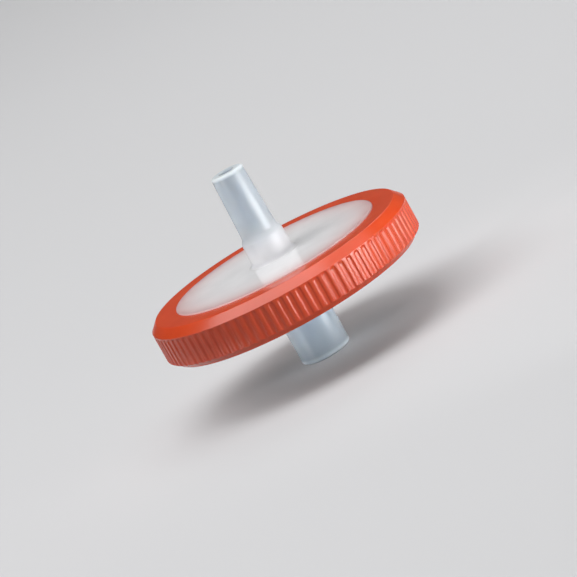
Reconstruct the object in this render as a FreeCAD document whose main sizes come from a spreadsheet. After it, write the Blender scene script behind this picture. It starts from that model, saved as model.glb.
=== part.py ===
"""Syringe filter with an overmoulded grip ring, as a parametric document.

The filter is two natural polypropylene mouldings clamped on a membrane disc and held together by
a coloured ring moulded over their rims. The inlet is a female Luer socket at the bottom, the
outlet a male Luer slip tip at the top.

Frame: millimetres, +Z along the flow axis towards the outlet tip. The origin is the middle of the
inlet's end face, on which the filter stands.
"""
import FreeCAD, Part
import os

import Sketcher

# Driving sizes in millimetres: name, value, meaning.
SIZES = [
    ("socket_mouth_radius", 2.15, "female Luer socket at its mouth"),
    ("socket_depth", 8.2, "female Luer socket from its mouth to its stop face"),
    ("socket_stop", 1.33, "stop face of the socket to the floor of the inlet chamber"),
    ("luer_taper", 0.06, "change of diameter over length of both Luer cones"),
    ("inlet_tube_wall", 0.88, "wall of the inlet tube at the socket's mouth"),
    ("inlet_port_radius", 0.9, "hole from the socket into the inlet chamber"),
    ("inlet_chamber_depth", 0.39, "floor of the inlet chamber to the membrane"),
    ("outlet_chamber_depth", 0.39, "membrane to the roof of the outlet chamber"),
    ("plate_proud", 0.12, "faces of the housings beyond the faces of the ring"),
    ("plate_edge_radius", 0.16, "rounding of the outer edge of those faces"),
    ("ring_height", 5.2, "grip ring from its underside to its top face"),
    ("ring_radius", 16.2, "grip ring over its ribs"),
    ("ring_wall", 2.04, "outside of the ring to the rim of the housings"),
    ("ring_lip", 0.9, "ring above and below the rim of the housings"),
    ("lip_cover", 1.58, "rim of the housings covered by the ring's lips"),
    ("upper_bevel_width", 0.94, "upper bevel of the ring, along the radius"),
    ("upper_bevel_height", 0.96, "upper bevel of the ring, along the axis"),
    ("lower_bevel_width", 0.88, "lower bevel of the ring, along the radius"),
    ("lower_bevel_height", 0.8, "lower bevel of the ring, along the axis"),
    ("ring_edge_radius", 0.2, "rounding of the edges of the ring's bevels"),
    ("flute_count", 90, "grip flutes round the ring"),
    ("flute_depth", 0.12, "floor of a flute below the rib tops"),
    ("flute_floor_width", 0.3, "width of a flute at its floor"),
    ("flute_mouth_width", 0.82, "width of a flute between the rib tops"),
    ("flute_top_land", 0.1, "plain wall between the upper bevel and the flutes"),
    ("weld_width", 1.66, "rim of the housings to the seat of the membrane"),
    ("membrane_clearance", 0.1, "edge of the membrane to the wall of its seat"),
    ("membrane_clamp", 1.4, "edge of the membrane held between the housings"),
    ("membrane_thickness", 0.16, "thickness of the filter membrane"),
    ("inlet_rib_clearance", 0.12, "tops of the inlet ribs to the membrane"),
    ("rib_width", 0.5, "width of the ribs in the chambers"),
    ("rib_root", 0.4, "length of a rib inside the chamber's wall"),
    ("rib_count", 12, "long ribs in each chamber, with as many short ones between"),
    ("long_rib_start", 2.6, "radius at which the long ribs start"),
    ("short_rib_start", 6.4, "radius at which the short ribs start"),
    ("collar_height", 2.9, "top of the ring to the top of the outlet collar"),
    ("collar_draft", 0.1, "widening of the collar towards the plate"),
    ("tube_root_radius", 0.5, "rounding where a tube meets its plate"),
    ("shoulder_height", 0.61, "height of the cone between collar and Luer tip"),
    ("shoulder_step", 0.31, "widening of that cone from the tip to the collar"),
    ("shoulder_radius", 0.3, "rounding at both ends of that cone"),
    ("tip_length", 7.73, "male Luer tip from the shoulder to its end face"),
    ("tip_end_radius", 1.965, "male Luer tip at its end face"),
    ("outlet_bore_radius", 0.85, "bore through the outlet"),
    ("tip_rounding", 0.3, "rounding of the outer edge of the tip's end"),
    ("inlet_rounding", 0.5, "rounding of the outer edge of the inlet tube's end"),
    ("mouth_radius", 0.12, "rounding of the inner edge of each tube's end"),
]

# Sizes that follow from the driving ones: name, formula.
DERIVED = [
    ("inlet_tube_radius", "socket_mouth_radius + inlet_tube_wall"),
    ("socket_end_radius", "socket_mouth_radius - socket_depth * luer_taper / 2"),
    ("chamber_floor", "socket_depth + socket_stop"),
    ("membrane_bottom", "chamber_floor + inlet_chamber_depth"),
    ("membrane_top", "membrane_bottom + membrane_thickness"),
    ("chamber_roof", "membrane_top + outlet_chamber_depth"),
    ("ring_bottom", "(membrane_bottom + membrane_top - ring_height) / 2"),
    ("ring_top", "ring_bottom + ring_height"),
    ("inlet_face", "ring_bottom - plate_proud"),
    ("outlet_face", "ring_top + plate_proud"),
    ("upper_bevel_radius", "ring_radius - upper_bevel_width"),
    ("upper_bevel_bottom", "ring_top - upper_bevel_height"),
    ("lower_bevel_radius", "ring_radius - lower_bevel_width"),
    ("lower_bevel_top", "ring_bottom + lower_bevel_height"),
    ("flute_floor_radius", "ring_radius - flute_depth"),
    ("flute_cut_radius", "ring_radius + flute_depth"),
    ("flute_floor_half", "flute_floor_width / 2"),
    ("flute_cut_half", "flute_mouth_width - flute_floor_half"),
    ("flute_top", "upper_bevel_bottom - flute_top_land"),
    ("flute_height", "flute_top - ring_bottom"),
    ("rim_radius", "ring_radius - ring_wall"),
    ("rim_bottom", "ring_bottom + ring_lip"),
    ("rim_top", "ring_top - ring_lip"),
    ("window_radius", "rim_radius - lip_cover"),
    ("seat_radius", "rim_radius - weld_width"),
    ("membrane_radius", "seat_radius - membrane_clearance"),
    ("chamber_radius", "membrane_radius - membrane_clamp"),
    ("rib_end", "chamber_radius + rib_root"),
    ("rib_half", "rib_width / 2"),
    ("inlet_rib_height", "membrane_bottom - inlet_rib_clearance - chamber_floor"),
    ("outlet_rib_height", "chamber_roof - membrane_top"),
    ("tip_base_radius", "tip_end_radius + tip_length * luer_taper / 2"),
    ("collar_radius", "tip_base_radius + shoulder_step"),
    ("collar_base_radius", "collar_radius + collar_draft"),
    ("collar_top", "ring_top + collar_height"),
    ("shoulder_top", "collar_top + shoulder_height"),
    ("tip_end", "shoulder_top + tip_length"),
]

FULL_TURN = 360.0
NEARNESS = 1e-4

doc = FreeCAD.newDocument("SyringeFilter")
sizes = doc.addObject("Spreadsheet::Sheet", "Sizes")


def fill_sheet():
    """Write the driving sizes as plain numbers and the derived ones as formulas."""
    rows = [(name, str(value), meaning) for name, value, meaning in SIZES]
    rows += [(name, "=" + formula, "follows from the sizes above") for name, formula in DERIVED]
    for row, (name, content, meaning) in enumerate(rows, start=1):
        sizes.set(f"A{row}", meaning)
        sizes.set(f"B{row}", content)
        sizes.setAlias(f"B{row}", name)
    doc.recompute()


def size(name):
    """Current value of a named size, negative where the name has a minus in front."""
    value = float(getattr(sizes, name.lstrip("-")))
    return -value if name.startswith("-") else value


def bound(name):
    """Expression for a named size, with its minus if it has one."""
    sign = "-" if name.startswith("-") else ""
    return f"{sign}Sizes.{name.lstrip('-')}"


def new_body(label):
    body = doc.addObject("PartDesign::Body", label)
    body.Label = label
    return body


def new_sketch(body, name, role, height=None):
    """Sketch on one of the body's own origin planes, lifted to a named height."""
    sketch = body.newObject("Sketcher::SketchObject", name)
    plane = next(item for item in body.Origin.OriginFeatures if item.Role == role)
    sketch.AttachmentSupport = [(plane, "")]
    sketch.MapMode = "FlatFace"
    if height:
        sketch.setExpression("AttachmentOffset.Base.z", bound(height))
    return sketch


def tie(sketch, line, kind, axis, name):
    """Hold the start of a line at a named distance from an axis, or on it where the name is 0."""
    if name == "0":
        sketch.addConstraint(Sketcher.Constraint("PointOnObject", line, 1, axis))
        return
    index = sketch.addConstraint(Sketcher.Constraint(kind, -1, 1, line, 1, size(name)))
    sketch.setExpression(f"Constraints[{index}]", bound(name))


def draw_outline(sketch, corners):
    """Draw a closed outline through corners that are each given by two named sizes."""
    points = []
    for across, along in corners:
        x = 0.0 if across == "0" else size(across)
        y = 0.0 if along == "0" else size(along)
        points.append(FreeCAD.Vector(x, y, 0))
    count = len(points)
    for index in range(count):
        line = Part.LineSegment(points[index], points[(index + 1) % count])
        sketch.addGeometry(line, False)
    for index in range(count):
        following = (index + 1) % count
        sketch.addConstraint(Sketcher.Constraint("Coincident", index, 2, following, 1))
    for index, (across, along) in enumerate(corners):
        tie(sketch, index, "DistanceX", -2, across)
        tie(sketch, index, "DistanceY", -1, along)


def revolve(body, name, corners):
    """Turn a section, given as (radius, height) corners, once round the flow axis."""
    section = new_sketch(body, name + "_section", "XZ_Plane")
    draw_outline(section, corners)
    turned = body.newObject("PartDesign::Revolution", name)
    turned.Profile = section
    turned.ReferenceAxis = (section, ["V_Axis"])
    turned.Angle = FULL_TURN
    doc.recompute()


def round_rings(body, name, fillet_size, rings):
    """Round the circular edges that lie at the given (radius, height) pairs."""
    base = body.Tip
    chosen = []
    for index, edge in enumerate(base.Shape.Edges, start=1):
        if not isinstance(edge.Curve, Part.Circle):
            continue
        for radius, height in rings:
            z = 0.0 if height == "0" else size(height)
            same_radius = abs(edge.Curve.Radius - size(radius)) < NEARNESS
            same_height = abs(edge.Curve.Center.z - z) < NEARNESS
            if same_radius and same_height:
                chosen.append(f"Edge{index}")
    if len(chosen) != len(rings):
        raise ValueError(f"{name}: found {len(chosen)} of {len(rings)} edges")
    fillet = body.newObject("PartDesign::Fillet", name)
    fillet.Base = (base, chosen)
    fillet.setExpression("Radius", bound(fillet_size))
    doc.recompute()


def repeat_round_axis(body, name, feature, sketch, count):
    """Repeat a pad or pocket evenly round the flow axis."""
    pattern = body.newObject("PartDesign::PolarPattern", name)
    pattern.Originals = [feature]
    pattern.Axis = (sketch, ["N_Axis"])
    pattern.Angle = FULL_TURN
    pattern.setExpression("Occurrences", bound(count))
    body.Tip = pattern
    doc.recompute()


def add_ribs(body, name, start, height, length, turn="0"):
    """Pad one radial rib upwards from a named height and repeat it round the chamber."""
    plan = new_sketch(body, name + "_plan", "XY_Plane", height)
    plan.setExpression("AttachmentOffset.Rotation.Angle", turn)
    corners = [(start, "-rib_half"), ("rib_end", "-rib_half"), ("rib_end", "rib_half"), (start, "rib_half")]
    draw_outline(plan, corners)
    rib = body.newObject("PartDesign::Pad", name)
    rib.Profile = plan
    rib.setExpression("Length", bound(length))
    doc.recompute()
    repeat_round_axis(body, name + "_round", rib, plan, "rib_count")


def add_rib_set(body, height, length):
    """Long ribs, and short ones half a pitch round from them."""
    add_ribs(body, "long_rib", "long_rib_start", height, length)
    add_ribs(body, "short_rib", "short_rib_start", height, length, f"{FULL_TURN / 2} / Sizes.rib_count")


def make_grip_ring():
    """Coloured ring, C-shaped in section round the rims of the housings, with fluted outside."""
    body = new_body("grip_ring")
    revolve(body, "ring", [
        ("window_radius", "ring_top"),
        ("upper_bevel_radius", "ring_top"),
        ("ring_radius", "upper_bevel_bottom"),
        ("ring_radius", "lower_bevel_top"),
        ("lower_bevel_radius", "ring_bottom"),
        ("window_radius", "ring_bottom"),
        ("window_radius", "rim_bottom"),
        ("rim_radius", "rim_bottom"),
        ("rim_radius", "rim_top"),
        ("window_radius", "rim_top"),
    ])
    round_rings(body, "bevel_edges", "ring_edge_radius", [
        ("upper_bevel_radius", "ring_top"),
        ("lower_bevel_radius", "ring_bottom"),
        ("ring_radius", "lower_bevel_top"),
    ])
    plan = new_sketch(body, "flute_plan", "XY_Plane", "flute_top")
    draw_outline(plan, [
        ("flute_floor_radius", "-flute_floor_half"),
        ("flute_cut_radius", "-flute_cut_half"),
        ("flute_cut_radius", "flute_cut_half"),
        ("flute_floor_radius", "flute_floor_half"),
    ])
    flute = body.newObject("PartDesign::Pocket", "flute")
    flute.Profile = plan
    flute.setExpression("Length", bound("flute_height"))
    doc.recompute()
    repeat_round_axis(body, "flutes", flute, plan, "flute_count")
    return body


def make_inlet_housing():
    """Lower moulding: plate with the female Luer socket below and the inlet chamber above."""
    body = new_body("inlet_housing")
    revolve(body, "inlet", [
        ("inlet_port_radius", "chamber_floor"),
        ("chamber_radius", "chamber_floor"),
        ("chamber_radius", "membrane_bottom"),
        ("seat_radius", "membrane_bottom"),
        ("seat_radius", "membrane_top"),
        ("rim_radius", "membrane_top"),
        ("rim_radius", "rim_bottom"),
        ("window_radius", "rim_bottom"),
        ("window_radius", "inlet_face"),
        ("inlet_tube_radius", "inlet_face"),
        ("inlet_tube_radius", "0"),
        ("socket_mouth_radius", "0"),
        ("socket_end_radius", "socket_depth"),
        ("inlet_port_radius", "socket_depth"),
    ])
    round_rings(body, "face_edge", "plate_edge_radius", [("window_radius", "inlet_face")])
    round_rings(body, "tube_root", "tube_root_radius", [("inlet_tube_radius", "inlet_face")])
    round_rings(body, "tube_end", "inlet_rounding", [("inlet_tube_radius", "0")])
    round_rings(body, "socket_mouth", "mouth_radius", [("socket_mouth_radius", "0")])
    add_rib_set(body, "chamber_floor", "inlet_rib_height")
    return body


def make_outlet_housing():
    """Upper moulding: plate with the outlet chamber below and the collar and Luer tip above."""
    body = new_body("outlet_housing")
    revolve(body, "outlet", [
        ("outlet_bore_radius", "chamber_roof"),
        ("chamber_radius", "chamber_roof"),
        ("chamber_radius", "membrane_top"),
        ("rim_radius", "membrane_top"),
        ("rim_radius", "rim_top"),
        ("window_radius", "rim_top"),
        ("window_radius", "outlet_face"),
        ("collar_base_radius", "outlet_face"),
        ("collar_radius", "collar_top"),
        ("tip_base_radius", "shoulder_top"),
        ("tip_end_radius", "tip_end"),
        ("outlet_bore_radius", "tip_end"),
    ])
    round_rings(body, "face_edge", "plate_edge_radius", [("window_radius", "outlet_face")])
    round_rings(body, "tube_root", "tube_root_radius", [("collar_base_radius", "outlet_face")])
    round_rings(body, "shoulder", "shoulder_radius", [
        ("collar_radius", "collar_top"),
        ("tip_base_radius", "shoulder_top"),
    ])
    round_rings(body, "tube_end", "tip_rounding", [("tip_end_radius", "tip_end")])
    round_rings(body, "bore_mouth", "mouth_radius", [("outlet_bore_radius", "tip_end")])
    add_rib_set(body, "membrane_top", "outlet_rib_height")
    return body


def make_filter_membrane():
    """White membrane disc, clamped at its edge between the housings."""
    disc = doc.addObject("Part::Cylinder", "filter_membrane")
    disc.Label = "filter_membrane"
    disc.setExpression("Radius", bound("membrane_radius"))
    disc.setExpression("Height", bound("membrane_thickness"))
    disc.setExpression("Placement.Base.z", bound("membrane_bottom"))
    doc.recompute()
    return disc


def check_document():
    """Stop where a feature failed."""
    doc.recompute()
    for item in doc.Objects:
        if "Invalid" in item.State or "Error" in item.State:
            raise ValueError(f"{item.Name} failed: {item.State}")


def write_parts(parts):
    """Write each sub-part to its own file, once every shape has been found sound."""
    for part in parts:
        if part.Shape.isNull() or not part.Shape.isValid():
            raise ValueError(f"{part.Label} has no sound shape")
    os.makedirs("parts", exist_ok=True)
    for part in parts:
        part.Shape.exportStep(f"parts/{part.Label}.step")
        box = part.Shape.BoundBox
        print(f"{part.Label}: solids {len(part.Shape.Solids)}, volume {part.Shape.Volume:.2f},",
              f"z {box.ZMin:.3f} to {box.ZMax:.3f}, width {box.XLength:.3f}")


fill_sheet()
parts = [make_inlet_housing(), make_filter_membrane(), make_outlet_housing(), make_grip_ring()]
check_document()
write_parts(parts)
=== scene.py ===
import bpy
import bmesh
import math

from mathutils import Matrix, Vector


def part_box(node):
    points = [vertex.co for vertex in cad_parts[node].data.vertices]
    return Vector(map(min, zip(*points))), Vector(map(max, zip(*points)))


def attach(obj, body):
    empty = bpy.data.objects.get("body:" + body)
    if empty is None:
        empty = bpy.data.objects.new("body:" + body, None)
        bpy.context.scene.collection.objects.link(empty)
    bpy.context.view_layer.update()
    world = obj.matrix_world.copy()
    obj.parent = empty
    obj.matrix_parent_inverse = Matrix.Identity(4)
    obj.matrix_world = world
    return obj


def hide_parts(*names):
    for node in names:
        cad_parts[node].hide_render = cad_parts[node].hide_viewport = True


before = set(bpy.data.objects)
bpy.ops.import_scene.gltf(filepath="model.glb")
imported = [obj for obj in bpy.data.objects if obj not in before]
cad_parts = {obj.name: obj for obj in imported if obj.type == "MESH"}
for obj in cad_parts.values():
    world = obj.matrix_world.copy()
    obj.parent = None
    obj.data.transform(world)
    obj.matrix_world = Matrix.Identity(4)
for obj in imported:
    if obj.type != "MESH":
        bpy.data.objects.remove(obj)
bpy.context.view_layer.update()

MM = 0.001

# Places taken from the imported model, in metres.
ring_low, ring_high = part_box("grip_ring")
outlet_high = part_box("outlet_housing")[1]
RING_RADIUS = ring_high.x
RING_BOTTOM = ring_low.z
RING_TOP = ring_high.z
RIM_RADIUS = outlet_high.x
TIP_TOP = outlet_high.z

# Shape of the grip ring, as in the CAD model.
RING_LIP = 0.9 * MM
LIP_COVER = 1.58 * MM
WINDOW_RADIUS = RIM_RADIUS - LIP_COVER
UPPER_BEVEL_WIDTH = 0.94 * MM
UPPER_BEVEL_HEIGHT = 0.96 * MM
LOWER_BEVEL_WIDTH = 0.88 * MM
LOWER_BEVEL_HEIGHT = 0.8 * MM
LOWER_BEVEL_SLOPE = LOWER_BEVEL_WIDTH / LOWER_BEVEL_HEIGHT
EDGE_RADIUS = 0.2 * MM
WINDOW_EDGE_RADIUS = 0.08 * MM
WALL_LOW = RING_BOTTOM + LOWER_BEVEL_HEIGHT
WALL_HIGH = RING_TOP - UPPER_BEVEL_HEIGHT
SHARP_ANGLE = math.radians(30)

# Flutes in the wall of the ring: steep sides, arched tops, and open ends in the lower bevel.
FLUTES = 90
FLUTE_DEPTH = 0.12 * MM
FLUTE_WIDTH = 0.82 * MM
FLUTE_SIDE = 0.26 * MM
FLUTE_TOP_CORNER = 0.38 * MM
FLUTE_HIGH = WALL_HIGH - 0.02 * MM

# Rows that a flute needs: its floor meets the bevel just above the lowest row, and its arch
# begins just above the row at ARCH_LOW.
FLUTE_LOW = WALL_LOW - 1.2 * FLUTE_DEPTH / LOWER_BEVEL_SLOPE
ARCH_LOW = FLUTE_HIGH - FLUTE_TOP_CORNER - 0.1 * MM

# Numbers of rows and columns in the parts of a flute, and of columns between two flutes.
RUN_OUT_ROWS = 4
STRAIGHT_ROWS = 4
ARCH_ROWS = 14
SIDE_COLUMNS = 5
FLAT_COLUMNS = 2

# Zones of the housings, as (start, end) heights between which each one comes in.
OUTLET_ZONE = (RING_TOP + 0.8 * MM, RING_TOP + 5.4 * MM)
INLET_ZONE = (RING_BOTTOM + 0.2 * MM, RING_BOTTOM - 0.6 * MM)
COLLAR_ZONE = (RING_TOP + 0.1 * MM, RING_TOP + 0.4 * MM)
TIP_END_ZONE = (TIP_TOP - 0.5 * MM, TIP_TOP - 0.1 * MM)
MOUTH_ZONE = (0.8 * MM, 0.2 * MM)

# The outlet's bore, as in the CAD model, and a little more, so that its whole wall lies within.
# Within this reach the outlet is painted darker, as painted shade in the bore.
BORE_REACH = 0.85 * MM + 0.1 * MM

# Painted glow: the ring's orange light that shines through the plates' edge is painted into
# their colour, fading away over this distance.
PAINTED_GLOW_REACH = 1.9 * MM
PAINTED_RING_GLOW = (0.94, 0.50, 0.48)

# Part of a noise's range over which a ramp runs.
NOISE_LOW = 0.3
NOISE_HIGH = 0.7

# Colour sockets of a Mix node, which share their names with its other sockets.
MIX_FIRST = 6
MIX_SECOND = 7
MIX_RESULT = 2

# Camera: seen from a little above the ring, rolled so that the outlet leans to the upper left.
CAMERA_DISTANCE = 451.7 * MM
CAMERA_ELEVATION = math.radians(11.45)
CAMERA_ROLL = math.radians(29.2)
CAMERA_LENS = 249.6
CAMERA_SENSOR = 36.0
CAMERA_AIM = Vector((-0.275, 0, 8.65)) * MM

FLOOR_HALF = 2.0


# ---------------------------------------------------------------- mesh helpers

def arc_points(before, corner, after, rounding, steps=5):
    """Points of the arc that rounds a corner between its two neighbours."""
    to_before = (before - corner).normalized()
    to_after = (after - corner).normalized()
    half = to_before.angle(to_after) / 2
    centre = corner + (to_before + to_after).normalized() * rounding / math.sin(half)
    reach = rounding / math.tan(half)
    start = corner + to_before * reach - centre
    end = corner + to_after * reach - centre
    turn = start.angle_signed(end)
    points = []
    for step in range(steps + 1):
        part = -turn * step / steps
        spoke = Matrix.Rotation(part, 2) @ start
        points.append(centre + spoke)
    return points


def section_points(corners):
    """Points of a section given as (radius, height, rounding) corners."""
    count = len(corners)
    points = []
    for index, (radius, height, rounding) in enumerate(corners):
        corner = Vector((radius, height))
        before = Vector(corners[index - 1][:2])
        after = Vector(corners[(index + 1) % count][:2])
        if rounding:
            points.extend(arc_points(before, corner, after, rounding))
        else:
            points.append(corner)
    return points


def ring_mesh(name, rows, columns, place):
    """Closed ring of quads: place(row, column) gives each corner."""
    mesh = bpy.data.meshes.new(name)
    corners = [place(row, column) for column in range(columns) for row in range(rows)]
    faces = []
    for column in range(columns):
        here = column * rows
        there = (column + 1) % columns * rows
        for row in range(rows):
            following = (row + 1) % rows
            faces.append((here + row, there + row, there + following, here + following))
    mesh.from_pydata(corners, [], faces)
    work = bmesh.new()
    work.from_mesh(mesh)
    bmesh.ops.recalc_face_normals(work, faces=work.faces)
    for edge in work.edges:
        edge.smooth = edge.calc_face_angle() < SHARP_ANGLE
    work.to_mesh(mesh)
    work.free()
    mesh.polygons.foreach_set("use_smooth", [True] * len(mesh.polygons))
    piece = bpy.data.objects.new(name, mesh)
    bpy.context.scene.collection.objects.link(piece)
    return piece


def ease(value):
    """Smooth step from 0 to 1."""
    value = min(max(value, 0.0), 1.0)
    return value * value * (3 - 2 * value)


def even_steps(first, last, count):
    """Evenly spaced numbers from first on, with last left out."""
    return [first + (last - first) * (index / count) for index in range(count)]


# ---------------------------------------------------------------- grip ring

def flute_depth_at(across, height):
    """How far a flute is cut in, at a distance from its middle: its top is arched."""
    out_across = abs(across) - FLUTE_WIDTH / 2 + FLUTE_TOP_CORNER
    out_along = height - FLUTE_HIGH + FLUTE_TOP_CORNER
    beyond = math.hypot(max(out_across, 0), max(out_along, 0))
    inside = FLUTE_TOP_CORNER - beyond - min(max(out_across, out_along), 0)
    return FLUTE_DEPTH * ease(inside / FLUTE_SIDE)


def flute_columns():
    """Angles of the ring's columns, each with its distance from the middle of its flute."""
    pitch = 2 * math.pi / FLUTES
    half_floor = (FLUTE_WIDTH / 2 - FLUTE_SIDE) / RING_RADIUS
    half_mouth = FLUTE_WIDTH / 2 / RING_RADIUS
    offsets = even_steps(-half_mouth, -half_floor, SIDE_COLUMNS)
    offsets += even_steps(-half_floor, half_floor, FLAT_COLUMNS)
    offsets += even_steps(half_floor, half_mouth, SIDE_COLUMNS)
    offsets += even_steps(half_mouth, pitch - half_mouth, FLAT_COLUMNS)
    columns = []
    for flute in range(FLUTES):
        for offset in offsets:
            columns.append((flute * pitch + offset, min(offset, pitch - offset) * RING_RADIUS))
    return columns


def ring_section():
    """Section of the ring without its flutes, with rows where the flutes need them."""
    upper_flat = RING_RADIUS - UPPER_BEVEL_WIDTH
    lower_flat = RING_RADIUS - LOWER_BEVEL_WIDTH
    section = section_points([
        (RING_RADIUS, WALL_HIGH, 0),
        (upper_flat, RING_TOP, EDGE_RADIUS),
        (WINDOW_RADIUS, RING_TOP, WINDOW_EDGE_RADIUS),
        (WINDOW_RADIUS, RING_TOP - RING_LIP, 0),
        (RIM_RADIUS, RING_TOP - RING_LIP, 0),
        (RIM_RADIUS, RING_BOTTOM + RING_LIP, 0),
        (WINDOW_RADIUS, RING_BOTTOM + RING_LIP, 0),
        (WINDOW_RADIUS, RING_BOTTOM, WINDOW_EDGE_RADIUS),
        (lower_flat, RING_BOTTOM, EDGE_RADIUS),
    ])
    heights = even_steps(FLUTE_LOW, WALL_LOW, RUN_OUT_ROWS)
    heights += even_steps(WALL_LOW, ARCH_LOW, STRAIGHT_ROWS)
    heights += even_steps(ARCH_LOW, FLUTE_HIGH, ARCH_ROWS)
    heights.append(FLUTE_HIGH)
    for height in heights:
        radius = RING_RADIUS - max(WALL_LOW - height, 0) * LOWER_BEVEL_SLOPE
        section.append(Vector((radius, height)))
    return section


def make_grip_ring():
    """Ring moulded over the rims of the housings, with bevelled edges and a fluted wall."""
    section = ring_section()
    columns = flute_columns()

    def place(row, column):
        angle, across = columns[column]
        radius, height = section[row]
        if height < FLUTE_HIGH:
            radius = min(radius, RING_RADIUS - flute_depth_at(across, height))
        return Vector((radius * math.cos(angle), radius * math.sin(angle), height))

    return ring_mesh("grip_ring_detailed", len(section), len(columns), place)


# ---------------------------------------------------------------- node helpers

def new_material(name):
    """Node material, with what is needed to build on its shader."""
    material = bpy.data.materials.new(name)
    material.use_nodes = True
    nodes = material.node_tree.nodes
    shader = nodes["Principled BSDF"]
    return material, nodes, material.node_tree.links, shader


def feed(links, socket, source):
    """Give a socket a number, a colour, or what another node puts out."""
    if isinstance(source, (int, float)):
        socket.default_value = source
    elif isinstance(source, tuple):
        socket.default_value = (*source, 1.0)
    else:
        links.new(source, socket)


def object_noise(nodes, links, scale, detail=2.0):
    """Noise in the object's own coordinates; scale is in waves per metre."""
    place = nodes.new("ShaderNodeTexCoord")
    noise = nodes.new("ShaderNodeTexNoise")
    noise.inputs["Scale"].default_value = scale
    noise.inputs["Detail"].default_value = detail
    links.new(place.outputs["Object"], noise.inputs["Vector"])
    return noise.outputs["Fac"]


def ramp(nodes, links, noise, low, high):
    """Colour that follows a noise from low to high."""
    node = nodes.new("ShaderNodeValToRGB")
    stops = ((NOISE_LOW, low), (NOISE_HIGH, high))
    for element, (position, colour) in zip(node.color_ramp.elements, stops):
        element.position = position
        element.color = (*colour, 1.0)
    links.new(noise, node.inputs["Fac"])
    return node.outputs["Color"]


def grey_ramp(nodes, links, noise, low, high):
    """Plain value that follows a noise from low to high."""
    return ramp(nodes, links, noise, (low, low, low), (high, high, high))


def bump(nodes, links, shader, noise, strength, distance):
    """Fine relief over the whole surface."""
    node = nodes.new("ShaderNodeBump")
    node.inputs["Strength"].default_value = strength
    node.inputs["Distance"].default_value = distance
    links.new(noise, node.inputs["Height"])
    links.new(node.outputs["Normal"], shader.inputs["Normal"])


def formula(nodes, links, operation, *sources, clamp=False):
    """Math node over sockets and numbers."""
    node = nodes.new("ShaderNodeMath")
    node.operation = operation
    node.use_clamp = clamp
    for socket, source in zip(node.inputs, sources):
        feed(links, socket, source)
    return node.outputs["Value"]


def band(nodes, links, source, zone):
    """Smooth share that goes from 0 at the start of a zone to 1 at its end."""
    node = nodes.new("ShaderNodeMapRange")
    node.interpolation_type = "SMOOTHSTEP"
    node.inputs["From Min"].default_value = zone[0]
    node.inputs["From Max"].default_value = zone[1]
    links.new(source, node.inputs["Value"])
    return node.outputs["Result"]


def between(nodes, links, share, low, high):
    """Number that goes from low to high with a share."""
    node = nodes.new("ShaderNodeMapRange")
    node.inputs["To Min"].default_value = low
    node.inputs["To Max"].default_value = high
    links.new(share, node.inputs["Value"])
    return node.outputs["Result"]


def mix_colours(nodes, links, share, first, second, blend="MIX"):
    """Colour made of two others, each a socket or a colour."""
    node = nodes.new("ShaderNodeMix")
    node.data_type = "RGBA"
    node.blend_type = blend
    feed(links, node.inputs["Factor"], share)
    feed(links, node.inputs[MIX_FIRST], first)
    feed(links, node.inputs[MIX_SECOND], second)
    return node.outputs[MIX_RESULT]


def axis_distances(nodes, links):
    """Distance from the flow axis and height above the inlet's end face."""
    place = nodes.new("ShaderNodeTexCoord")
    apart = nodes.new("ShaderNodeSeparateXYZ")
    links.new(place.outputs["Object"], apart.inputs["Vector"])
    x_squared = formula(nodes, links, "POWER", apart.outputs["X"], 2.0)
    y_squared = formula(nodes, links, "POWER", apart.outputs["Y"], 2.0)
    radius = formula(nodes, links, "SQRT", formula(nodes, links, "ADD", x_squared, y_squared))
    return radius, apart.outputs["Z"]


# ---------------------------------------------------------------- materials

def orange_plastic():
    """Satin moulded polypropylene with faint flow marks and a fine moulded grain."""
    material, nodes, links, shader = new_material("orange_plastic")
    flow = object_noise(nodes, links, 240.0)
    colour = ramp(nodes, links, flow, (0.63, 0.061, 0.012), (0.68, 0.069, 0.015))
    links.new(colour, shader.inputs["Base Color"])
    links.new(grey_ramp(nodes, links, flow, 0.25, 0.27), shader.inputs["Roughness"])
    bump(nodes, links, shader, object_noise(nodes, links, 3000.0), 0.03, 0.02 * MM)
    shader.inputs["Specular IOR Level"].default_value = 0.5
    shader.inputs["Subsurface Weight"].default_value = 0.25
    shader.inputs["Subsurface Radius"].default_value = (1.0, 0.12, 0.04)
    shader.inputs["Subsurface Scale"].default_value = 0.8 * MM
    return material


def housing_zones(nodes, links, radius, height):
    """Shares of the housings' parts, each 1 in its own part."""
    outlet = band(nodes, links, height, OUTLET_ZONE)
    inlet = band(nodes, links, height, INLET_ZONE)
    tube = formula(nodes, links, "MAXIMUM", outlet, inlet)
    in_bore = formula(nodes, links, "LESS_THAN", radius, BORE_REACH)
    bore = formula(nodes, links, "MULTIPLY", in_bore, outlet)
    tip_end = band(nodes, links, height, TIP_END_ZONE)
    mouth = band(nodes, links, height, MOUTH_ZONE)
    ends = formula(nodes, links, "MAXIMUM", tip_end, mouth)
    solid = formula(nodes, links, "MAXIMUM", ends, bore)
    return {
        "outlet": outlet,
        "inlet": inlet,
        "tube": tube,
        "bore": bore,
        "thin": formula(nodes, links, "SUBTRACT", tube, solid, clamp=True),
        "collar": band(nodes, links, height, COLLAR_ZONE),
    }


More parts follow.
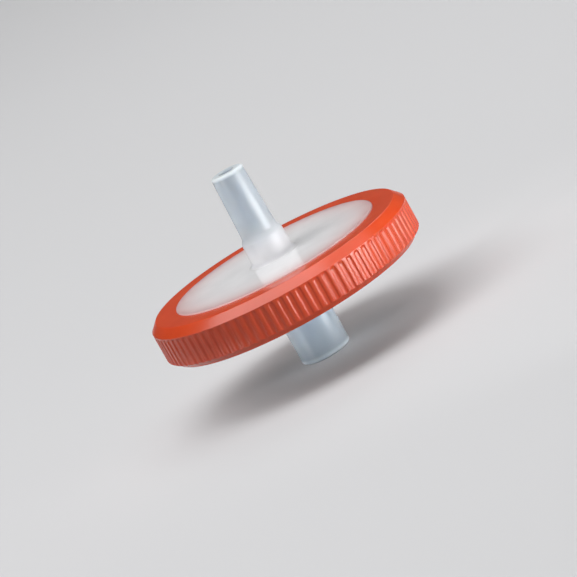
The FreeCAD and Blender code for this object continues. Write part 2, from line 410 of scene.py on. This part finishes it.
def housing_colour(nodes, links, zones, radius, haze):
    """Milky plates and collar, bluer tubes, painted shade on the outlet's bore and the inlet
    tube, and a painted glow of the ring's orange light next to it.
    """
    plate = ramp(nodes, links, haze, (0.83, 0.83, 0.84), (0.87, 0.87, 0.88))
    outlet = ramp(nodes, links, haze, (0.72, 0.83, 0.96), (0.75, 0.86, 0.98))
    # Painted shade: the inlet tube is painted darker than the outlet tube of the same plastic.
    inlet = ramp(nodes, links, haze, (0.58, 0.67, 0.76), (0.61, 0.70, 0.78))
    with_collar = mix_colours(nodes, links, zones["collar"], plate, (0.85, 0.85, 0.88))
    with_outlet = mix_colours(nodes, links, zones["outlet"], with_collar, outlet)
    with_inlet = mix_colours(nodes, links, zones["inlet"], with_outlet, inlet)
    # Painted shade: the outlet's bore is painted a darker grey-blue than the tube around it.
    plain = mix_colours(nodes, links, zones["bore"], with_inlet, (0.46, 0.52, 0.58))
    # Painted glow: the ring's orange light through the plates' edge, painted into their colour
    # near the ring.
    inward = formula(nodes, links, "SUBTRACT", WINDOW_RADIUS, radius)
    fall = formula(nodes, links, "DIVIDE", inward, -PAINTED_GLOW_REACH)
    painted_glow_share = formula(nodes, links, "MINIMUM", formula(nodes, links, "EXPONENT", fall), 1.0)
    painted_ring_glow = mix_colours(nodes, links, painted_glow_share, (1.0, 1.0, 1.0), PAINTED_RING_GLOW)
    return mix_colours(nodes, links, 1.0, plain, painted_ring_glow, "MULTIPLY")


def stretch_highlights(nodes, links, shader, amount):
    """Turned mould: highlights on round walls are drawn out along the flow axis."""
    circumference = nodes.new("ShaderNodeTangent")
    circumference.direction_type = "RADIAL"
    circumference.axis = "Z"
    links.new(circumference.outputs["Tangent"], shader.inputs["Tangent"])
    links.new(amount, shader.inputs["Anisotropic"])
    shader.inputs["Anisotropic Rotation"].default_value = 0.25


def milky_plastic():
    """Natural polypropylene: thin tube walls let light through, thick plates scatter it."""
    material, nodes, links, shader = new_material("milky_plastic")
    radius, height = axis_distances(nodes, links)
    zones = housing_zones(nodes, links, radius, height)
    haze = object_noise(nodes, links, 320.0)
    colour = housing_colour(nodes, links, zones, radius, haze)
    links.new(colour, shader.inputs["Base Color"])
    clear = between(nodes, links, zones["thin"], 0.04, 0.60)
    links.new(clear, shader.inputs["Transmission Weight"])
    plate_gloss = grey_ramp(nodes, links, haze, 0.18, 0.21)
    round_gloss = grey_ramp(nodes, links, haze, 0.23, 0.26)
    round_wall = formula(nodes, links, "MAXIMUM", zones["tube"], zones["collar"])
    gloss = mix_colours(nodes, links, round_wall, plate_gloss, round_gloss)
    links.new(gloss, shader.inputs["Roughness"])
    stretch_highlights(nodes, links, shader, formula(nodes, links, "MULTIPLY", round_wall, 0.7))
    bump(nodes, links, shader, object_noise(nodes, links, 4000.0), 0.02, 0.02 * MM)
    shader.inputs["IOR"].default_value = 1.49
    shader.inputs["Specular IOR Level"].default_value = 0.27
    shader.inputs["Subsurface Weight"].default_value = 1.0
    shader.inputs["Subsurface Radius"].default_value = (1.0, 1.0, 1.0)
    shader.inputs["Subsurface Scale"].default_value = 2.5 * MM
    return material


def membrane_sheet():
    """Matt white porous sheet with a faint fibrous grain."""
    material, nodes, links, shader = new_material("membrane_sheet")
    fibre = object_noise(nodes, links, 3000.0, 6.0)
    colour = ramp(nodes, links, fibre, (0.82, 0.82, 0.81), (0.90, 0.90, 0.89))
    links.new(colour, shader.inputs["Base Color"])
    bump(nodes, links, shader, fibre, 0.4, 0.03 * MM)
    shader.inputs["Roughness"].default_value = 0.8
    return material


def floor_surface():
    """Pale floor: it looks lighter than the light it sends back onto the object."""
    material, nodes, links, shader = new_material("pale_floor")
    path = nodes.new("ShaderNodeLightPath").outputs
    looked_at = formula(nodes, links, "ADD", path["Is Camera Ray"], path["Is Glossy Ray"])
    seen = formula(nodes, links, "ADD", looked_at, path["Is Transmission Ray"], clamp=True)
    shade = object_noise(nodes, links, 3.0)
    pale = ramp(nodes, links, shade, (0.52, 0.52, 0.53), (0.54, 0.54, 0.55))
    colour = mix_colours(nodes, links, seen, (0.28, 0.28, 0.28), pale)
    links.new(colour, shader.inputs["Base Color"])
    shader.inputs["Roughness"].default_value = 0.9
    shader.inputs["Specular IOR Level"].default_value = 0.1
    shader.inputs["Emission Color"].default_value = (1.0, 1.0, 1.0, 1.0)
    links.new(formula(nodes, links, "MULTIPLY", seen, 0.12), shader.inputs["Emission Strength"])
    return material


def dress(piece, material):
    """Give a piece one material and no other."""
    piece.data.materials.clear()
    piece.data.materials.append(material)


# ---------------------------------------------------------------- studio

def make_floor():
    """Square floor on which the filter stands."""
    mesh = bpy.data.meshes.new("floor")
    corners = []
    for x, y in ((-1, -1), (1, -1), (1, 1), (-1, 1)):
        corners.append((x * FLOOR_HALF, y * FLOOR_HALF, 0))
    mesh.from_pydata(corners, [], [(0, 1, 2, 3)])
    floor = bpy.data.objects.new("floor", mesh)
    bpy.context.scene.collection.objects.link(floor)
    dress(floor, floor_surface())


def make_lamp(name, place, aim, across, width, height, glow, opening=180):
    """Soft box that faces its aim, its width along across.

    glow is its own brightness, and opening the angle in degrees over which it shines.
    """
    lamp = bpy.data.lights.new(name, "AREA")
    lamp.shape = "RECTANGLE"
    lamp.size = width
    lamp.size_y = height
    lamp.energy = glow * math.pi * width * height
    lamp.spread = math.radians(opening)
    holder = bpy.data.objects.new(name, lamp)
    bpy.context.scene.collection.objects.link(holder)
    back = (Vector(place) - Vector(aim)).normalized()
    up = back.cross(Vector(across)).normalized()
    turn = Matrix((up.cross(back), up, back)).transposed()
    holder.matrix_world = Matrix.Translation(place) @ turn.to_4x4()
    holder.visible_camera = False


def make_overhead_lamps():
    """Large soft boxes: one overhead on the left, one on the right, and one high behind."""
    make_lamp(
        "top_softbox", place=(-0.38, -0.05, 0.85), aim=(-0.38, -0.05, 0), across=(1, 0, 0),
        width=1.36, height=0.54, glow=4.15,
    )
    make_lamp(
        "side_softbox", place=(0.62, 0.02, 0.85), aim=(0.62, 0.02, 0), across=(1, 0, 0),
        width=0.50, height=0.60, glow=1.5,
    )
    make_lamp(
        "back_softbox", place=(0.22, 0.66, 0.70), aim=(0, 0, 0.01), across=(0.66, -0.22, 0),
        width=0.50, height=0.50, glow=1.8,
    )


def make_low_lamps():
    """Small lamps close by: upright walls seen from above mirror what lies low beside them."""
    make_lamp(
        "low_strip", place=(0.0546, -0.0366, 0.0085), aim=(0, 0, 0.019),
        across=(0.0366, 0.0546, 0), width=0.067, height=0.015, glow=2.3, opening=60,
    )
    make_lamp(
        "inlet_fill", place=(-0.0412, -0.0192, 0.004), aim=(0, 0, 0.0035),
        across=(-0.0192, 0.0412, 0), width=0.026, height=0.006, glow=1.0, opening=14,
    )
    make_lamp(
        "inlet_strip", place=(0.0168, -0.0089, 0.0028), aim=(0, 0, 0.0042),
        across=(0.0089, 0.0168, 0), width=0.008, height=0.004, glow=1.7, opening=50,
    )
    make_lamp(
        "outlet_fill", place=(-0.050, -0.035, 0.022), aim=(0, 0, 0.019),
        across=(-0.035, 0.050, 0), width=0.020, height=0.010, glow=0.5, opening=24,
    )


def make_world():
    """Faint even light from all around."""
    world = bpy.data.worlds.new("studio")
    world.use_nodes = True
    background = world.node_tree.nodes["Background"]
    background.inputs["Color"].default_value = (1.0, 1.0, 1.0, 1.0)
    background.inputs["Strength"].default_value = 0.07
    bpy.context.scene.world = world


def make_camera():
    """Camera with a long lens, at the height and roll given above."""
    data = bpy.data.cameras.new("camera")
    data.lens = CAMERA_LENS
    data.sensor_width = CAMERA_SENSOR
    data.clip_start = 0.01
    data.clip_end = 20.0
    camera = bpy.data.objects.new("camera", data)
    bpy.context.scene.collection.objects.link(camera)
    back = Vector((0, -math.cos(CAMERA_ELEVATION), math.sin(CAMERA_ELEVATION)))
    camera.location = CAMERA_AIM + back * CAMERA_DISTANCE
    level = (-back).to_track_quat("-Z", "Y").to_matrix().to_4x4()
    camera.rotation_euler = (level @ Matrix.Rotation(-CAMERA_ROLL, 4, "Z")).to_euler()
    bpy.context.scene.camera = camera


# ---------------------------------------------------------------- scene

ring = make_grip_ring()
dress(ring, orange_plastic())
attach(ring, "root")
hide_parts("grip_ring")

milky = milky_plastic()
dress(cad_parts["inlet_housing"], milky)
dress(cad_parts["outlet_housing"], milky)
dress(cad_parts["filter_membrane"], membrane_sheet())

make_floor()
make_overhead_lamps()
make_low_lamps()
make_world()
make_camera()
bpy.context.scene.view_settings.view_transform = "Standard"
